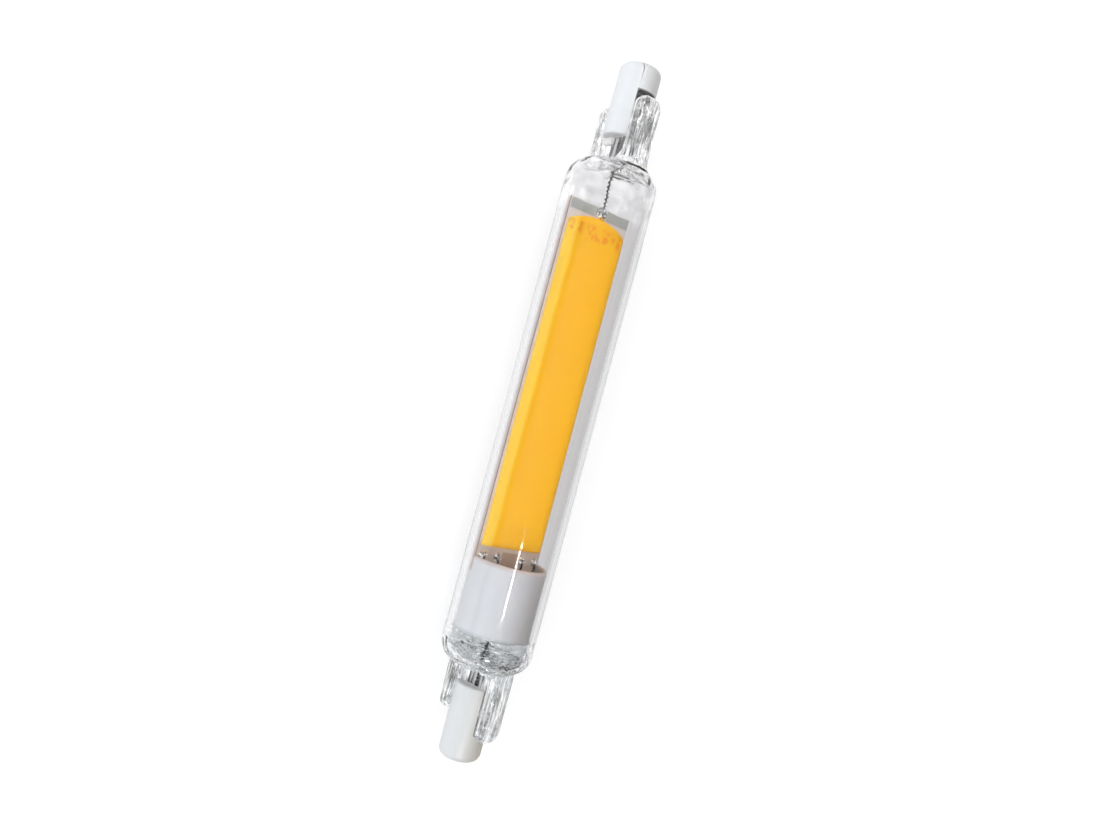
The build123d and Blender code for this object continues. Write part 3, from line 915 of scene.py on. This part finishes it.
pad_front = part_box("upper_pad")[1].z / MM
lead_z = pad_front + 0.31
twisted_pair(
    "upper_lead",
    [(45.8, 0.24, 0), (42.0, 0.24, 0), (38.6, 0.2, 0), (36.4, 0.05, lead_z + 0.05),
     (34.8, 0, lead_z), (33.4, 0, lead_z)],
    0.11, 0.7, "upper_inner_lead",
)
lower_y, lower_z = (v / MM for v in (ENDS["lower"]["frame"] @ Vector((0, -0.24 * MM, 0))).yz)
joint_x = (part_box("lower_solder_joint")[0].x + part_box("lower_solder_joint")[1].x) / 2 / MM
twisted_pair(
    "lower_lead",
    [(-47.0, lower_y, lower_z), (-43.0, lower_y, lower_z), (-39.9, lower_y, lower_z),
     (joint_x - 2.0, 0, -0.15), (joint_x + 0.5, 0, -0.19)],
    0.11, 0.7, "lower_inner_lead",
)
for number in range(1, 5):
    low, high = (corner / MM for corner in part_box(f"link_pin_{number}"))
    y, z = (low.y + high.y) / 2, (low.z + high.z) / 2
    round_wire(
        f"link_wire_{number}",
        [(low.x, y, z), (low.x + 2.6, y, z + 0.05), (high.x - 1.5, y, z + 0.45),
         (high.x - 0.7, y, z + 0.3), (high.x - 0.1, y + 0.1, z)],
        0.18, f"link_pin_{number}",
    )

# %% [markdown]
# The cement that holds each cap is rough and white. It is a softened, rippled copy of the packed
# cement, which fills the space between the cap's legs and the glass. Deep in the upper cap's slot
# it is painted dark, as painted shade like the ceramic round it.

# %% Softened copy of a imported node
def softened(node, name, voxel, rounds, ripple_strength=0.0):
    """A copy of a node with its edges melted, by a voxel size in millimetres and smoothing."""
    only(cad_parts[node])
    bpy.ops.object.duplicate()
    piece = bpy.context.object
    piece.name = name
    for key in list(piece.keys()):
        del piece[key]
    piece.parent = None
    tidy(piece)
    modify(piece, "REMESH", mode="VOXEL", voxel_size=voxel * MM)
    modify(piece, "SMOOTH", factor=0.5, iterations=rounds)
    if ripple_strength:
        modify(piece, "DISPLACE", texture=ripple, strength=ripple_strength * MM, mid_level=0.5)
    return piece


# %% Cement
cement_finish = Finish("sealing_cement", Roughness=0.85)
lump = cement_finish.noise(0.5, 4)
colour = cement_finish.mix(lump, seen(214, 212, 208), seen(236, 236, 234))
# Painted shade: the paste deep in the upper cap's slot is painted dark.
painted_slot_shade_paste = cement_finish.axis("X").above(51.6, 1.2) * 0.9
cement_finish.set(Base_Color=cement_finish.mix(painted_slot_shade_paste, colour, seen(70, 70, 68)))
cement_finish.bump(lump, 0.2)
for label in ENDS:
    paste = softened(f"{label}_cement", f"{label}_cement_paste", 0.13, 3, 0.12)
    hand_over(paste, "sealing_cement", cement_finish, f"{label}_cement", smooth=80)


# %% [markdown]
# The flat and hidden pieces keep their imported shapes and only get a finish. The LED board is
# metal with a pale coat on its front, so its edge shows a thin coloured line, and its bare strip
# near the sleeve is a warmer tone, with a patch of painted shade between the two middle joints.

# %% Finishes for the imported nodes
def dress(finish, *nodes):
    for node in nodes:
        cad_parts[node].data.materials.clear()
        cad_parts[node].data.materials.append(finish.material)


board = Finish("white_metal_board", Roughness=0.5)
cloud = board.noise(2.5, 3)
front = board.mix(cloud, seen(247, 238, 234), seen(252, 245, 242))
low_strip = board.axis("X").below(-23.0, 1.0)
front = board.mix(low_strip, front, board.mix(cloud, seen(232, 211, 196), seen(241, 222, 209)))
# Painted shade: a darker patch between the two middle joints.
patch = board.axis("X").below(-24.3, 0.1) * abs(board.axis("Y")).below(1.5, 0.1)
front = board.mix(patch, front, seen(204, 172, 146))
depth = -0.5 - board.axis("Z")
edge = board.mix(depth.above(0.45, 0.15), seen(205, 158, 138), seen(236, 220, 214))
edge = board.mix(depth.above(0.2, 0.08), seen(122, 96, 88), edge)
board.set(Base_Color=board.mix(depth.above(0.02, 0.02), front, edge))
board.set(Roughness=cloud * 0.2 + 0.4)
board.bump(board.noise(0.6, 3), 0.03)
dress(board, "led_board")

band = Finish("tinned_band", Metallic=0.35)
cloud = band.noise(1.2, 3)
band.set(Base_Color=band.mix(cloud, seen(204, 207, 202), seen(222, 224, 219)))
band.set(Roughness=cloud * 0.2 + 0.35)
band.bump(cloud, 0.04)
dress(band, "upper_pad")

foil = Finish("dark_ribbon_metal", Metallic=0.3)
creases = foil.noise(0.5, 4, (2.5, 1, 1))
foil.set(Base_Color=foil.mix(creases, (0.17, 0.17, 0.175), (0.36, 0.36, 0.37)))
foil.set(Roughness=creases * 0.3 + 0.3)
foil.bump(creases, 0.15)
dress(foil, "upper_foil", "lower_foil")
dress(wire_metal, "upper_outer_lead", "lower_outer_lead")

nickel = Finish("nickel_contact", Metallic=1.0)
wear = nickel.noise(0.5, 4)
nickel.set(Base_Color=nickel.mix(wear, (0.55, 0.53, 0.49), (0.72, 0.70, 0.66)))
nickel.set(Roughness=wear * 0.25 + 0.2)
nickel.bump(wear, 0.03)
dress(nickel, "upper_contact", "lower_contact")

laminate = Finish("driver_laminate", Roughness=0.35)
weave = laminate.noise(0.8, 2)
laminate.set(Base_Color=laminate.mix(weave, (0.05, 0.22, 0.10), (0.08, 0.30, 0.15)))
laminate.bump(weave, 0.02)
dress(laminate, "driver_board")
dress(solder, "driver_solder")

moulding = Finish("black_moulding", Roughness=0.5)
grain = moulding.noise(0.2, 3)
moulding.set(Base_Color=moulding.mix(grain, (0.018, 0.018, 0.02), (0.04, 0.04, 0.044)))
moulding.bump(grain, 0.03)
dress(moulding, "bridge_rectifier", "driver_chip_1", "driver_chip_2", "resistor_1", "resistor_2")

chip = Finish("led_chip", Roughness=0.2)
facets = chip.noise(0.3, 2)
chip.set(Base_Color=chip.mix(facets, (0.40, 0.48, 0.58), (0.58, 0.66, 0.74)))
chip.bump(facets, 0.02)
dress(chip, "led_chips")
